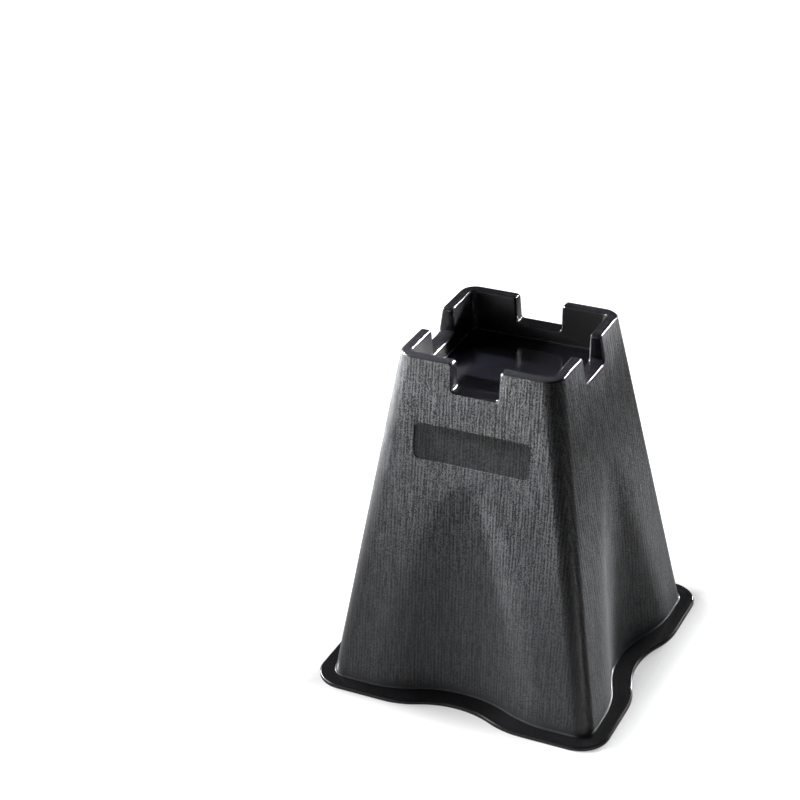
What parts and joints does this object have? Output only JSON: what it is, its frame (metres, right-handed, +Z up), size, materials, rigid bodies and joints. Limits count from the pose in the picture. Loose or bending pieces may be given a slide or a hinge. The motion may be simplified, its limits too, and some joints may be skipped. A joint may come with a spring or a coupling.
{
  "type": "bed riser",
  "caption": "Tapered square furniture riser moulded as one hollow shell, with a notched cup for a leg on top, fluted sides and a thin wavy foot.",
  "frame": {"origin": "middle of the face that rests on the floor", "axes": "+Z up to the cup; the wall with the bare recessed panel faces -Y"},
  "size_m": [0.14, 0.14, 0.159],
  "materials": {
    "black_plastic": "black moulded plastic, finely striated grain on the walls, smooth and glossy on rim, cup floor and foot"
  },
  "bodies": {
    "root": {"riser": "black_plastic"}
  },
  "joints": []
}
